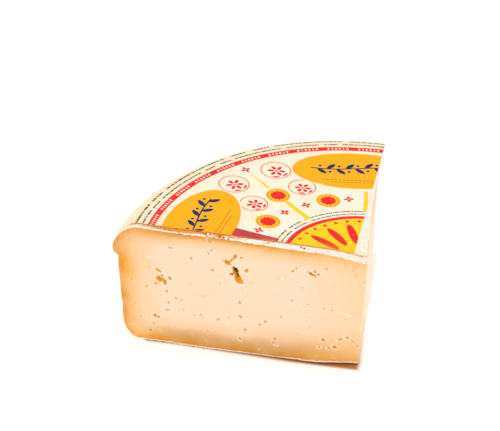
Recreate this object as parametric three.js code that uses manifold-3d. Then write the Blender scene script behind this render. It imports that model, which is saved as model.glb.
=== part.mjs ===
// A quarter of a wheel of soft cow's-milk cheese, standing on its underside, with the printed paper
// disc that covers the wheel's flat face cut to the same quarter. Millimetres, +Z up.
// The wheel's axis is the quarter's upright tip edge. One cut face looks along -Y and the other along +X.
import * as THREE from "three";
import { mergeVertices } from "three/addons/utils/BufferGeometryUtils.js";
import Module from "manifold-3d";

// The wheel
const BASE_RADIUS = 133; // flat underside, out to where its rounded edge starts
const BASE_EDGE = 13.5; // radius of the rounded lower edge
const WALL_RADIUS = 149.4; // the side wall just under the lip; it narrows downwards
const LIP_RADIUS = 152.6; // paste that crept out over the mould's edge
const LIP_HEIGHT = 67;
const LIP_DROP = 6.5; // from the lip's widest line down to the wall
const CREST_RADIUS = 138; // the flat face is highest here, just inside the shoulder
const CREST_HEIGHT = 82.3;
const SHOULDER_POWER = 1.7; // 2 would be an ellipse from the crest to the lip, less is leaner
const CENTRE_HEIGHT = 76.3; // the face has sunk towards the middle of the wheel
const DISH_POWER = 1.5;
const TIP_SAG = 3.1; // the cut tip droops a little further
const TIP_SAG_REACH = 14;
const TIP_LIFT = 1.7; // and its underside curls up off the table
const TIP_LIFT_REACH = 85;

// The two cuts
const TIP_X = 1.9; // the side cut starts this far past the wheel's axis
const SIDE_CUT_END_X = -0.5; // and ends here at the rim
const SIDE_CUT_HOLLOW = 2.1; // it bows in by this much on the way
const SIDE_CUT_LEAN = 1.5; // its foot stands out or in by this much, in one long wave
const SIDE_CUT_LEAN_LENGTH = 195;
const SIDE_CUT_LEAN_START = 6; // behind the front cut
const SIDE_BELLY = 1.9; // it swells out by this much half-way up
const SIDE_BELLY_GROWS = [18, 60]; // between these distances behind the front cut
const SIDE_BELLY_FADES = [104, 138]; // and fades between these
const SIDE_UNDERCUT = 3.6; // towards the rim the blade went further in below the rind
const SIDE_UNDERCUT_REACH = [82, 145]; // it grows between these distances behind the front cut
const SIDE_UNDERCUT_FADE = [52, 80]; // and is gone between these heights
const FRONT_CUT_WAVE = 0.35;
const FRONT_RISE = 1.9; // the blade dragged the rind up along the front cut
const FRONT_RISE_WIDTH = 4.5; // and that fades behind the cut
const FRONT_RISE_ENDS = [86, 120]; // and between these distances from the tip

// The paper disc
const PAPER_THICKNESS = 0.35;
const PAPER_GAP = 0.2;
const PAPER_RADIUS = 143;
const PAPER_TIP = { x: -7.1, y: 8 }; // the corner of the paper nearest the tip
const PAPER_SIDE_END = { x: 0.3, y: 150 };
const PAPER_FRONT_BOW = { x: -52, y: 8.5 };
const PAPER_FRONT_END = { x: -150, y: 2.6 };

// How unevenly the whole cheese has settled
const SWELL = 0.7; // in and out of the rim, either way
const SWELL_LOBES = 5;
const RIPPLE = 0.35; // up and down of the flat face, either way
const RIPPLE_LENGTH = 46;

// Fineness
const ROUND_STEPS = 132; // for the whole circle
const BASE_STEPS = 7; // under the curled-up tip
const EDGE_STEPS = 5;
const LIP_STEPS = 4;
const SHOULDER_STEPS = 7;
const FACE_STEPS = 13;
const CUT_STEPS = 22; // along each cut
const UPRIGHT_STEPS = 14; // up the side cut
const CUTTER_REACH = 200;
const CUTTER_BELOW = 5; // a cutter reaches this far below the table
const CUTTER_HEIGHT = 97;

const wasm = await Module();
wasm.setup();

// A small repeatable random number generator, from 0 to 1.
function randomFrom(seed) {
  let state = seed;
  return () => {
    state = (state * 1664525 + 1013904223) % 4294967296;
    return state / 4294967296;
  };
}

// A closed three.js geometry as a solid that can be cut and joined.
function toSolid(geometry) {
  geometry.deleteAttribute("normal");
  geometry.deleteAttribute("uv");
  const merged = mergeVertices(geometry, 1e-3);
  return new wasm.Manifold(
    new wasm.Mesh({
      numProp: 3,
      vertProperties: merged.attributes.position.array,
      triVerts: new Uint32Array(merged.index.array),
    }),
  );
}

function toGeometry(solid) {
  const mesh = solid.getMesh();
  const geometry = new THREE.BufferGeometry();
  geometry.setAttribute("position", new THREE.BufferAttribute(new Float32Array(mesh.vertProperties), 3));
  geometry.setIndex(new THREE.BufferAttribute(new Uint32Array(mesh.triVerts), 1));
  return geometry;
}

// Height of the wheel's upper side at a distance from its axis: the dished face, then the shoulder.
function faceHeight(radius) {
  if (radius > CREST_RADIUS) {
    const outward = (radius - CREST_RADIUS) / (LIP_RADIUS - CREST_RADIUS);
    const rest = Math.max(0, 1 - outward ** SHOULDER_POWER) ** (1 / SHOULDER_POWER);
    return LIP_HEIGHT + (CREST_HEIGHT - LIP_HEIGHT) * rest;
  }
  const dish = (CREST_HEIGHT - CENTRE_HEIGHT) * (radius / CREST_RADIUS) ** DISH_POWER;
  return CENTRE_HEIGHT + dish - TIP_SAG * Math.exp(-((radius / TIP_SAG_REACH) ** 2));
}

// Height of the underside: flat on the table but for the curled tip.
function baseHeight(radius) {
  const inside = Math.max(0, 1 - (radius / TIP_LIFT_REACH) ** 2);
  return TIP_LIFT * inside ** 2;
}

// Where the side cut runs, as x for a distance behind the front cut and a height.
function sideCut(y, z) {
  const share = Math.min(1, Math.max(0, y / LIP_RADIUS));
  const straight = TIP_X + (SIDE_CUT_END_X - TIP_X) * share;
  const bowed = straight - SIDE_CUT_HOLLOW * Math.sin(Math.PI * share);
  const wave = Math.sin((2 * Math.PI * (y - SIDE_CUT_LEAN_START)) / SIDE_CUT_LEAN_LENGTH);
  const foot = SIDE_CUT_LEAN * wave * Math.max(0, 1 - z / CENTRE_HEIGHT);
  const grown = THREE.MathUtils.smoothstep(y, ...SIDE_BELLY_GROWS);
  const left = 1 - THREE.MathUtils.smoothstep(y, ...SIDE_BELLY_FADES);
  const upTheCut = THREE.MathUtils.clamp(z / CENTRE_HEIGHT, 0, 1);
  const belly = SIDE_BELLY * grown * left * Math.sin(Math.PI * upTheCut);
  const towardsRim = THREE.MathUtils.smoothstep(y, ...SIDE_UNDERCUT_REACH);
  const belowRind = 1 - THREE.MathUtils.smoothstep(z, ...SIDE_UNDERCUT_FADE);
  return bowed + foot + belly - SIDE_UNDERCUT * towardsRim * belowRind;
}

function frontCut(x) {
  return FRONT_CUT_WAVE * Math.sin((2 * Math.PI * x) / LIP_RADIUS);
}

// Points along the face from its crest in to the axis, closer together towards the drooping tip.
function facePoints(lift) {
  const points = [];
  for (let i = FACE_STEPS; i >= 0; i--) {
    const radius = CREST_RADIUS * (i / FACE_STEPS) ** 1.3;
    points.push(new THREE.Vector2(radius, faceHeight(radius) + lift));
  }
  return points;
}

// Points from a radius on the shoulder in to just short of the crest, closer together where it is steep.
function shoulderPoints(fromRadius, lift) {
  const points = [];
  for (let i = SHOULDER_STEPS; i >= 1; i--) {
    const share = Math.sin((Math.PI / 2) * (i / SHOULDER_STEPS));
    const radius = CREST_RADIUS + (fromRadius - CREST_RADIUS) * share;
    points.push(new THREE.Vector2(radius, faceHeight(radius) + lift));
  }
  return points;
}

// Half of the wheel's outline, from the axis along the underside, up the rim and back over the face.
function wheelOutline() {
  const points = [];
  for (let i = 0; i <= BASE_STEPS; i++) {
    const radius = (TIP_LIFT_REACH * i) / BASE_STEPS;
    points.push(new THREE.Vector2(radius, baseHeight(radius)));
  }
  points.push(new THREE.Vector2(BASE_RADIUS, 0));
  for (let i = 1; i <= EDGE_STEPS; i++) {
    const turn = (Math.PI / 2) * (i / EDGE_STEPS) - Math.PI / 2;
    points.push(
      new THREE.Vector2(BASE_RADIUS + BASE_EDGE * Math.cos(turn), BASE_EDGE + BASE_EDGE * Math.sin(turn)),
    );
  }
  for (let i = 0; i < LIP_STEPS; i++) {
    const turn = (Math.PI / 2) * (i / LIP_STEPS);
    points.push(
      new THREE.Vector2(
        WALL_RADIUS + (LIP_RADIUS - WALL_RADIUS) * Math.sin(turn),
        LIP_HEIGHT - LIP_DROP * Math.cos(turn),
      ),
    );
  }
  points.push(...shoulderPoints(LIP_RADIUS, 0));
  points.push(...facePoints(0));
  return points;
}

// A block over the quarter that the two cuts leave. Its side wall is drawn at x = 0 and then bent.
function quarterBlock() {
  const outline = new THREE.Shape();
  outline.moveTo(0, CUTTER_REACH);
  outline.lineTo(-CUTTER_REACH, CUTTER_REACH);
  outline.lineTo(-CUTTER_REACH, frontCut(-CUTTER_REACH));
  for (let i = CUT_STEPS; i > 0; i--) {
    const x = (-LIP_RADIUS * i) / (CUT_STEPS - 1);
    outline.lineTo(x, frontCut(x));
  }
  for (let i = 0; i <= CUT_STEPS; i++) {
    outline.lineTo(0, (LIP_RADIUS * i) / (CUT_STEPS - 1));
  }
  outline.closePath();
  const block = upright(outline, UPRIGHT_STEPS);
  const place = block.attributes.position;
  for (let i = 0; i < place.count; i++) {
    if (place.getX(i) === 0) {
      place.setX(i, sideCut(place.getY(i), place.getZ(i)));
    }
  }
  return block;
}

// An outline drawn on the table, pushed up from below it to well above the cheese.
function upright(outline, steps) {
  const geometry = new THREE.ExtrudeGeometry(outline, {
    depth: CUTTER_HEIGHT,
    steps,
    bevelEnabled: false,
    curveSegments: 16,
  });
  return geometry.translate(0, 0, -CUTTER_BELOW);
}

// The paper's outline: a straight cut beside the tip, a bowed edge along the front.
function paperBlock() {
  const outline = new THREE.Shape();
  outline.moveTo(PAPER_TIP.x, PAPER_TIP.y);
  outline.lineTo(PAPER_SIDE_END.x, PAPER_SIDE_END.y);
  outline.lineTo(PAPER_SIDE_END.x, CUTTER_REACH);
  outline.lineTo(-CUTTER_REACH, CUTTER_REACH);
  outline.lineTo(-CUTTER_REACH, PAPER_FRONT_END.y);
  outline.lineTo(PAPER_FRONT_END.x, PAPER_FRONT_END.y);
  outline.quadraticCurveTo(PAPER_FRONT_BOW.x, PAPER_FRONT_BOW.y, PAPER_TIP.x, PAPER_TIP.y);
  return upright(outline, 1);
}

// One hollow in the paste, an uneven stretched ball. Sizes are half lengths along the slant, into the
// cheese and across. Its middle lies a little inside the cut face.
function hollow(face, { along, height, length, depth, width, slant = 0, detail = 0, seed = 1 }) {
  const geometry = new THREE.IcosahedronGeometry(1, detail);
  geometry.deleteAttribute("normal");
  geometry.deleteAttribute("uv");
  const ball = mergeVertices(geometry, 1e-3);
  const random = randomFrom(seed);
  const place = ball.attributes.position;
  for (let i = 0; i < place.count; i++) {
    const bump = 0.8 + 0.4 * random();
    place.setXYZ(i, place.getX(i) * bump, place.getY(i) * bump, place.getZ(i) * bump);
  }
  ball.scale(length, depth, width);
  ball.rotateY(-slant);
  const inset = 0.35 * depth;
  if (face === "front") {
    ball.translate(-along, frontCut(-along) + inset, height);
  } else {
    ball.rotateZ(Math.PI / 2);
    ball.translate(sideCut(along, height) - inset, along, height);
  }
  return toSolid(ball);
}

// The larger hollows of the front cut face, by distance from the tip edge and height above the table.
const LARGE_HOLLOWS = [
  { along: 78, height: 56, length: 5.2, depth: 5, width: 1.7, slant: -1.2, detail: 1 }, // deep crack
  { along: 75.5, height: 50.5, length: 3.8, depth: 3.2, width: 2, slant: -0.9, detail: 1 },
  { along: 81, height: 60.5, length: 1.9, depth: 2.2, width: 0.9, slant: -0.5, detail: 1 },
  { along: 84.5, height: 63, length: 2.6, depth: 2.2, width: 1.6, slant: -0.5, detail: 1 }, // its branch
  { along: 81.2, height: 66.3, length: 3, depth: 1.4, width: 0.9, slant: 0.6, detail: 1 },
  { along: 72, height: 60.5, length: 1.7, depth: 1.4, width: 1, slant: 1, detail: 1 },
  { along: 125.5, height: 46.5, length: 2.4, depth: 2, width: 1.7, slant: 0.3, detail: 1 }, // left cluster
  { along: 122.5, height: 43.6, length: 2, depth: 1.9, width: 1.6, slant: -1, detail: 1 },
  { along: 119.6, height: 46.9, length: 2, depth: 1.4, width: 1, slant: -0.8, detail: 1 },
  { along: 126.5, height: 53, length: 2.6, depth: 1, width: 0.7, slant: -0.4, detail: 1 },
  { along: 33, height: 63.6, length: 3.4, depth: 1.7, width: 1.1, slant: -0.15, detail: 1 }, // right
  { along: 25, height: 14.6, length: 2.2, depth: 1.5, width: 1, slant: -0.35, detail: 1 }, // lower right
  { along: 18.4, height: 9.8, length: 1.9, depth: 1.6, width: 1.3, slant: -0.5, detail: 1 },
  { along: 12.4, height: 18, length: 3.6, depth: 1, width: 0.6, slant: 0.55, detail: 1 },
  { along: 7, height: 14.5, length: 4.2, depth: 1, width: 0.6, slant: -0.75, detail: 1 },
];

const SMALL_HOLLOWS = 46; // on each cut face
const SMALL_HOLLOW_SIZE = [0.7, 1.7];
const HOLLOW_SPACING = 6;

// Small eyes scattered over a cut face, clear of each other, of the large ones and of the rind.
function smallHollows(face, seed, taken) {
  const random = randomFrom(seed);
  const placed = taken.map(({ along, height }) => new THREE.Vector2(along, height));
  const solids = [];
  for (let tries = 0; solids.length < SMALL_HOLLOWS && tries < 2000; tries++) {
    const spot = new THREE.Vector2(7 + 132 * random(), 8 + 62 * random());
    if (placed.some((other) => other.distanceTo(spot) < HOLLOW_SPACING)) continue;
    placed.push(spot);
    const length = THREE.MathUtils.lerp(...SMALL_HOLLOW_SIZE, random() ** 2);
    solids.push(
      hollow(face, {
        along: spot.x,
        height: spot.y,
        length,
        depth: 0.75 * length,
        width: 0.6 * length,
        slant: -0.6 + 1.1 * random(),
        seed: seed + solids.length,
      }),
    );
  }
  return solids;
}

// How far the rind stands up beside the front cut.
function frontRise(x, y) {
  const along = 1 - THREE.MathUtils.smoothstep(-x, ...FRONT_RISE_ENDS);
  return FRONT_RISE * along * Math.exp(-((y / FRONT_RISE_WIDTH) ** 2));
}

// Moves each vertex a little, as the whole cheese has settled. The underside stays on the table.
function settle(geometry) {
  const place = geometry.attributes.position;
  for (let i = 0; i < place.count; i++) {
    const x = place.getX(i);
    const y = place.getY(i);
    const z = place.getZ(i);
    const radius = Math.hypot(x, y);
    const angle = Math.atan2(y, -x);
    const nearRim = THREE.MathUtils.smoothstep(radius, 110, 150);
    const swell = SWELL * nearRim * Math.sin(SWELL_LOBES * angle + z / 40);
    const grow = radius > 1 ? 1 + swell / radius : 1;
    const ripple = RIPPLE * Math.sin(x / RIPPLE_LENGTH + 1) * Math.sin((2 * y) / RIPPLE_LENGTH);
    const settled = ripple * THREE.MathUtils.smoothstep(z, 30, 70);
    const lift = settled + frontRise(x, y) * THREE.MathUtils.smoothstep(z, 62, 74);
    place.setXYZ(i, x * grow, y * grow, z + lift);
  }
  place.needsUpdate = true;
  geometry.computeVertexNormals();
  return geometry;
}

function cheeseGeometry() {
  const wheel = toSolid(new THREE.LatheGeometry(wheelOutline(), ROUND_STEPS).rotateX(Math.PI / 2));
  const quarter = wheel.intersect(toSolid(quarterBlock()));
  const large = LARGE_HOLLOWS.map((sizes, i) => hollow("front", { ...sizes, seed: 11 + i }));
  const small = [...smallHollows("front", 301, LARGE_HOLLOWS), ...smallHollows("side", 702, [])];
  return settle(toGeometry([...large, ...small].reduce((left, gap) => left.subtract(gap), quarter)));
}

function paperGeometry() {
  const topLift = PAPER_GAP + PAPER_THICKNESS;
  const top = [...shoulderPoints(PAPER_RADIUS, topLift), ...facePoints(topLift)];
  const under = [...shoulderPoints(PAPER_RADIUS, PAPER_GAP), ...facePoints(PAPER_GAP)].reverse();
  const sheet = toSolid(new THREE.LatheGeometry([...under, ...top], ROUND_STEPS).rotateX(Math.PI / 2));
  return settle(toGeometry(sheet.intersect(toSolid(paperBlock()))));
}

function cheese() {
  const material = new THREE.MeshStandardMaterial({ color: 0xffe2c4, roughness: 0.5, metalness: 0 });
  const mesh = new THREE.Mesh(cheeseGeometry(), material);
  mesh.name = "cheese";
  return mesh;
}

function paperLabel() {
  const material = new THREE.MeshStandardMaterial({ color: 0xfff0d2, roughness: 0.7, metalness: 0 });
  const mesh = new THREE.Mesh(paperGeometry(), material);
  mesh.name = "paper_label";
  return mesh;
}

// The frame's origin is under the middle of the quarter's own box, on the table.
const quarterWheel = new THREE.Group();
const body = cheese();
const label = paperLabel();
body.geometry.computeBoundingBox();
const middle = body.geometry.boundingBox.getCenter(new THREE.Vector3());
for (const mesh of [body, label]) {
  mesh.position.set(-middle.x, -middle.y, 0);
  quarterWheel.add(mesh);
}

export default quarterWheel;
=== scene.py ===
"""A quarter of a low wheel of soft cow's-milk cheese with its printed paper disc, in a light studio."""
import itertools
import math

import bmesh
import bpy
import numpy as np
from mathutils import Matrix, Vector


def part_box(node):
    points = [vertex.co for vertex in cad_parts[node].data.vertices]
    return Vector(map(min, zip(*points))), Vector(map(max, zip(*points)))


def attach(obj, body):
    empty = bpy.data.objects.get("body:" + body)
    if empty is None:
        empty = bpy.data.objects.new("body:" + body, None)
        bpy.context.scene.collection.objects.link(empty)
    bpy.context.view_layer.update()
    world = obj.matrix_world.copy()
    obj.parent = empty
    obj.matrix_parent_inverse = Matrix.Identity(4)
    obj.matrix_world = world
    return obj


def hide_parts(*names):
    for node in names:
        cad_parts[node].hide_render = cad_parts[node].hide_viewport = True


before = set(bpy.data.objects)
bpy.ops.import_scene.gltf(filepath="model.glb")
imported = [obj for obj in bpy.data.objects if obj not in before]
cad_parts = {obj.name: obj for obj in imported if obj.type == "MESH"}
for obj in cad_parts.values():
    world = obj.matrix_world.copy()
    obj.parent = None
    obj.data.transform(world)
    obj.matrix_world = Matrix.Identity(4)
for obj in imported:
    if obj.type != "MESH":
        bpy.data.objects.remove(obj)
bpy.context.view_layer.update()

# The wheel's form. Curd was pressed in a low round mould and has matured for some weeks: the flat face
# has sunk towards the middle, and the shoulder has crept out over the mould's edge. Sizes in mm from
# the wheel's axis, which is the quarter's upright tip edge, with the cheese towards -X and +Y.
MM = 0.001
BASE_RADIUS = 133
BASE_EDGE = 13.5
WALL_RADIUS = 149.4
LIP_RADIUS = 152.6
LIP_HEIGHT = 67
LIP_DROP = 6.5
CREST_RADIUS = 138
CREST_HEIGHT = 82.3
CENTRE_HEIGHT = 76.3
SHOULDER_POWER = 1.7
DISH_POWER = 1.5
TIP_SAG = 3.1
TIP_SAG_REACH = 14
TIP_LIFT = 1.7
TIP_LIFT_REACH = 56
ROUNDING_STEPS = 24  # points on each rounded part of the rim's outline


def face_height(radius):
    """Height of the wheel's upper side: the dished face, then the shoulder down to the lip."""
    outward = np.clip((radius - CREST_RADIUS) / (LIP_RADIUS - CREST_RADIUS), 0, 1)
    rest = (1 - outward**SHOULDER_POWER) ** (1 / SHOULDER_POWER)
    shoulder = LIP_HEIGHT + (CREST_HEIGHT - LIP_HEIGHT) * rest
    dish = CENTRE_HEIGHT + (CREST_HEIGHT - CENTRE_HEIGHT) * (radius / CREST_RADIUS) ** DISH_POWER
    sag = TIP_SAG * np.exp(-((radius / TIP_SAG_REACH) ** 2))
    return np.where(radius > CREST_RADIUS, shoulder, dish - sag)


def base_height(radius):
    """Height of the underside: flat on the table, but curled up at the tip."""
    return TIP_LIFT * np.clip(1 - (radius / TIP_LIFT_REACH) ** 2, 0, 1) ** 2


def rim_outline(steps):
    """Points up the rim, evenly apart: rounded lower edge, wall, overhanging lip, shoulder."""
    turn = np.linspace(0, math.pi / 2, ROUNDING_STEPS)
    edge = np.c_[BASE_RADIUS + BASE_EDGE * np.sin(turn), BASE_EDGE * (1 - np.cos(turn))]
    lip = np.c_[
        WALL_RADIUS + (LIP_RADIUS - WALL_RADIUS) * np.sin(turn),
        LIP_HEIGHT - LIP_DROP * np.cos(turn),
    ]
    out = CREST_RADIUS + (LIP_RADIUS - CREST_RADIUS) * np.cos(turn)
    line = np.vstack([edge, lip, np.c_[out, face_height(out)]])
    apart = np.r_[0, np.cumsum(np.linalg.norm(np.diff(line, axis=0), axis=1))]
    even = np.linspace(0, apart[-1], steps + 1)
    return np.c_[np.interp(even, apart, line[:, 0]), np.interp(even, apart, line[:, 1])]


# The two cuts, made with a long knife. Neither is quite flat: the side cut is hollow at mid length, swells
# half-way up and is undercut at the rim, and the blade dragged the rind up along the front cut. Then the
# whole cheese has settled, so its rim and its face are a little uneven.
TIP_X = 1.9
SIDE_CUT_END_X = -0.5
SIDE_CUT_HOLLOW = 2.1
SIDE_CUT_LEAN = 1.5
SIDE_CUT_LEAN_LENGTH = 195
SIDE_CUT_LEAN_START = 6
SIDE_BELLY = 1.9
SIDE_BELLY_GROWS = (18, 60)
SIDE_BELLY_FADES = (104, 138)
SIDE_UNDERCUT = 3.6
SIDE_UNDERCUT_REACH = (82, 145)
SIDE_UNDERCUT_FADE = (52, 80)
FRONT_CUT_WAVE = 0.35
FRONT_RISE = 1.9
FRONT_RISE_WIDTH = 4.5
FRONT_RISE_ENDS = (86, 120)  # it ends between these distances from the tip edge
FRONT_RISE_HEIGHTS = (62, 74)  # and comes up between these heights
FRONT_FOOT = 1.6  # the soft foot of the front cut has slumped forward
FRONT_FOOT_GROWS = (-8, 26)
FRONT_FOOT_FADES = (95, 132)
FRONT_FOOT_HEIGHT = 14
FRONT_TOE = 1.7  # and most of all near the tip
FRONT_TOE_PLACE = 24
FRONT_TOE_WIDTH = 16
FORM_FADE = 50  # how far into the cheese these forms are followed
CUT_FADE = 60  # and how far the cuts' own waves are
SWELL = 0.7
SWELL_LOBES = 5
SWELL_REACH = (110, 150)
SWELL_TWIST = 40  # mm of height over which the lobes turn by a radian
RIPPLE = 0.35
RIPPLE_LENGTH = 46
RIPPLE_HEIGHTS = (30, 70)


def smoothstep(value, start, end):
    """0 below start, 1 above end, and a smooth rise between."""
    share = np.clip((value - start) / (end - start), 0, 1)
    return share * share * (3 - 2 * share)


def front_cut(x):
    """How far in from its plane the front cut lies, by x along it."""
    return FRONT_CUT_WAVE * np.sin(2 * math.pi * x / LIP_RADIUS)


def side_cut(y):
    """How far out towards +X the side cut lies, by y along it."""
    share = np.clip(y / LIP_RADIUS, 0, 1)
    return TIP_X + (SIDE_CUT_END_X - TIP_X) * share - SIDE_CUT_HOLLOW * np.sin(math.pi * share)


def settle(places):
    """The places of a true round quarter, moved to where the uneven cheese has them."""
    x, y, z = places.T
    radius = np.hypot(x, y)
    lobes = np.sin(SWELL_LOBES * np.arctan2(y, -x) + z / SWELL_TWIST)
    grow = 1 + SWELL * smoothstep(radius, *SWELL_REACH) * lobes / np.maximum(radius, 1)
    ripple = RIPPLE * np.sin(x / RIPPLE_LENGTH + 1) * np.sin(2 * y / RIPPLE_LENGTH)
    wave = np.sin(2 * math.pi * (y - SIDE_CUT_LEAN_START) / SIDE_CUT_LEAN_LENGTH)
    lean = SIDE_CUT_LEAN * wave * np.clip(1 - z / CENTRE_HEIGHT, 0, 1)
    belly = smoothstep(y, *SIDE_BELLY_GROWS) * (1 - smoothstep(y, *SIDE_BELLY_FADES))
    lean += SIDE_BELLY * belly * np.sin(math.pi * np.clip(z / CENTRE_HEIGHT, 0, 1))
    lean -= SIDE_UNDERCUT * smoothstep(y, *SIDE_UNDERCUT_REACH) * (1 - smoothstep(z, *SIDE_UNDERCUT_FADE))
    lean *= smoothstep(x, -FORM_FADE, 0)
    rise = FRONT_RISE * (1 - smoothstep(-x, *FRONT_RISE_ENDS)) * np.exp(-((y / FRONT_RISE_WIDTH) ** 2))
    lift = ripple * smoothstep(z, *RIPPLE_HEIGHTS) + rise * smoothstep(z, *FRONT_RISE_HEIGHTS)
    slump = FRONT_FOOT * smoothstep(-x, *FRONT_FOOT_GROWS) * (1 - smoothstep(-x, *FRONT_FOOT_FADES))
    slump += FRONT_TOE * np.exp(-(((-x - FRONT_TOE_PLACE) / FRONT_TOE_WIDTH) ** 2))
    slump *= (1 - smoothstep(z, 0, FRONT_FOOT_HEIGHT)) * (1 - smoothstep(y, 0, FORM_FADE))
    return np.c_[x * grow + lean, y * grow - slump, z + lift]


NOISE_PRIMES = (73856093, 19349663, 83492791)


def soft_noise(places, size, seed):
    """Smooth random values from -1 to 1 at places given in mm, with bumps about size mm across."""
    cell = np.floor(places / size).astype(np.int64)
    share = places / size - cell
    share = share * share * (3 - 2 * share)
    total = np.zeros(len(places))
    salt = np.full(len(places), 2654435 * (seed + 1))
    for corner in itertools.product((0, 1), repeat=places.shape[1]):
        weight = np.prod(np.where(corner, share, 1 - share), axis=1)
        # Each cell corner's whole numbers are scrambled into one random number of 16 bits.
        mixed = (cell + np.array(corner)) * np.array(NOISE_PRIMES[: places.shape[1]])
        mixed = np.bitwise_xor.reduce(np.c_[mixed, salt], axis=1)
        mixed = (mixed ^ (mixed >> 13)) * 1274126177 & 0xFFFFFFFF
        mixed = (mixed ^ (mixed >> 16)) & 0xFFFF
        total += weight * (mixed / 32767.5 - 1)
    return total


# The hollows in the paste: gas left small eyes, and where the curd knitted badly there are ragged
# cracks. The large ones of the front face are listed by distance from the tip edge and height above
# the table. Sizes are half lengths along the slant, half widths and depths.
FRONT_HOLLOWS = [
    # along, height, length, width, depth, slant
    (77.1, 58.3, 2.9, 1.6, 5.0, -1.35),  # the deep crack, in parts
    (76.2, 55.0, 2.8, 1.8, 3.2, -1.2),
    (75.0, 52.7, 2.6, 2.1, 2.0, -1.0),
    (73.3, 51.7, 2.1, 1.2, 1.2, -0.95),
    (78.4, 60.6, 1.4, 0.8, 3.6, -0.25),
    (79.5, 55.9, 1.7, 0.6, 2.6, 0.4),
    (82.3, 63.8, 2.0, 1.4, 1.9, -0.5),  # its branch up to the left
    (85.0, 64.8, 1.3, 0.5, 0.8, -0.8),
    (80.0, 65.6, 2.1, 0.6, 1.1, 0.75),
    (77.8, 67.9, 1.5, 0.9, 1.3, 0.7),
    (70.3, 59.8, 1.5, 1.0, 1.5, 1.0),
    (73.8, 67.5, 0.9, 0.6, 0.8, 0.0),
    (124.4, 46.6, 1.8, 1.6, 1.8, 0.3),  # the left cluster
    (122.4, 49.1, 1.4, 0.7, 0.9, 0.5),
    (120.9, 44.6, 2.0, 1.2, 1.8, -1.3),
    (122.2, 46.6, 1.6, 1.3, 0.9, -0.4),
    (117.6, 47.4, 1.7, 0.8, 1.2, -0.9),
    (124.8, 52.6, 2.9, 0.7, 1.0, -0.5),
    (34.4, 64.2, 0.9, 0.5, 0.9, -0.2),  # the slit on the right
    (32.2, 63.0, 1.2, 0.8, 2.6, -0.4),
    (30.4, 62.4, 1.6, 0.6, 1.2, -0.1),
    (28.0, 63.0, 1.1, 0.5, 1.0, 0.6),
    (42.6, 63.6, 1.1, 0.6, 0.9, 0.8),
    (40.8, 65.4, 0.9, 0.6, 0.7, 0.0),
    (22.6, 16.4, 1.6, 0.8, 1.5, -0.35),  # lower right
    (15.4, 12.4, 1.7, 1.1, 1.6, -0.5),
    (24.4, 10.8, 1.0, 0.6, 1.0, 0.3),
    (18.6, 10.9, 1.2, 0.5, 0.9, -0.1),
    (12.4, 18.2, 1.8, 0.5, 0.9, 0.55),
    (8.2, 20.0, 1.5, 0.7, 1.1, -0.1),
    (4.6, 17.6, 2.4, 0.4, 0.8, -0.7),
    (1.6, 14.6, 1.4, 0.4, 0.8, -1.1),
    (0.8, 11.0, 1.0, 0.5, 0.7, 1.4),
    (126.4, 18.9, 1.7, 0.6, 1.8, -0.7),  # small ones that show clearly
    (124.3, 18.3, 1.2, 0.5, 1.5, 0.6),
    (135.2, 17.1, 1.0, 0.5, 0.8, 0.4),
    (131.8, 39.9, 1.0, 0.6, 0.8, -0.2),
    (119.4, 37.9, 1.0, 0.6, 0.9, -0.3),
    (113.6, 33.4, 0.9, 0.5, 0.8, 0.0),
    (110.4, 33.0, 1.0, 0.5, 0.8, -0.8),
    (118.3, 29.9, 1.0, 0.7, 0.9, 0.9),
    (119.2, 24.2, 1.5, 0.6, 0.9, 0.1),
    (127.0, 12.9, 1.0, 0.5, 0.7, -0.3),
    (125.0, 10.0, 1.2, 0.5, 0.7, -0.3),
    (129.6, 7.6, 1.0, 0.7, 0.9, 0.8),
    (104.6, 63.8, 1.0, 0.7, 0.9, 0.2),
    (117.4, 69.6, 1.8, 0.4, 0.7, -0.1),
    (93.8, 76.2, 1.8, 0.5, 0.9, -0.8),
    (92.4, 70.0, 1.4, 0.5, 0.8, -0.5),
    (102.9, 42.0, 0.8, 0.5, 0.6, -0.2),
    (73.9, 36.2, 1.0, 0.7, 0.9, 0.5),
    (73.0, 25.7, 1.5, 0.6, 1.0, -0.7),
    (69.9, 16.8, 1.2, 0.7, 0.9, -0.1),
    (72.9, 9.9, 1.2, 0.8, 1.3, -1.0),
    (87.0, 21.7, 0.9, 0.6, 0.8, 0.7),
    (86.6, 47.6, 1.0, 0.4, 0.5, -0.2),
    (57.4, 24.6, 1.4, 0.5, 0.9, -0.3),
    (61.0, 21.8, 1.0, 0.5, 0.8, 0.7),
    (48.4, 29.4, 1.1, 0.5, 0.7, -0.2),
    (51.2, 12.9, 1.4, 0.5, 0.8, -0.6),
    (52.0, 9.6, 1.2, 0.5, 0.9, -0.7),
    (38.5, 18.8, 0.7, 0.5, 0.6, 0.0),
    (42.3, 42.4, 1.0, 0.6, 0.9, -0.5),
    (32.9, 40.9, 0.8, 0.4, 0.6, -0.2),
    (23.4, 39.1, 0.9, 0.5, 0.7, -0.4),
    (18.3, 38.5, 0.7, 0.5, 0.7, 0.0),
    (5.0, 35.8, 1.1, 0.4, 0.6, -0.1),
    (50.9, 57.6, 1.0, 0.5, 0.6, -0.6),
    (23.2, 67.2, 1.4, 0.4, 0.7, -0.1),
    (39.6, 57.1, 0.7, 0.4, 0.5, 0.0),
    (8.3, 67.6, 0.8, 0.4, 0.6, -0.4),
    (0.4, 61.0, 0.9, 0.6, 0.8, 0.3),
]
SMALL_HOLLOWS = 110  # on each cut face
SMALL_LENGTHS = (0.4, 1.1)
SIDE_LARGE_HOLLOWS = 16
SIDE_LARGE_LENGTHS = (1.4, 3.4)
SCATTER_ALONG = (4, 143)
SCATTER_HEIGHTS = (5, 75)
SCATTER_WIDTHS = (0.4, 0.8)  # as shares of the length, and so are the depths
SCATTER_DEPTHS = (0.5, 0.9)
SCATTER_SLANTS = (-0.9, 0.5)
SMALL_ONES_POWER = 2.2  # the higher, the fewer are long
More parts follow.
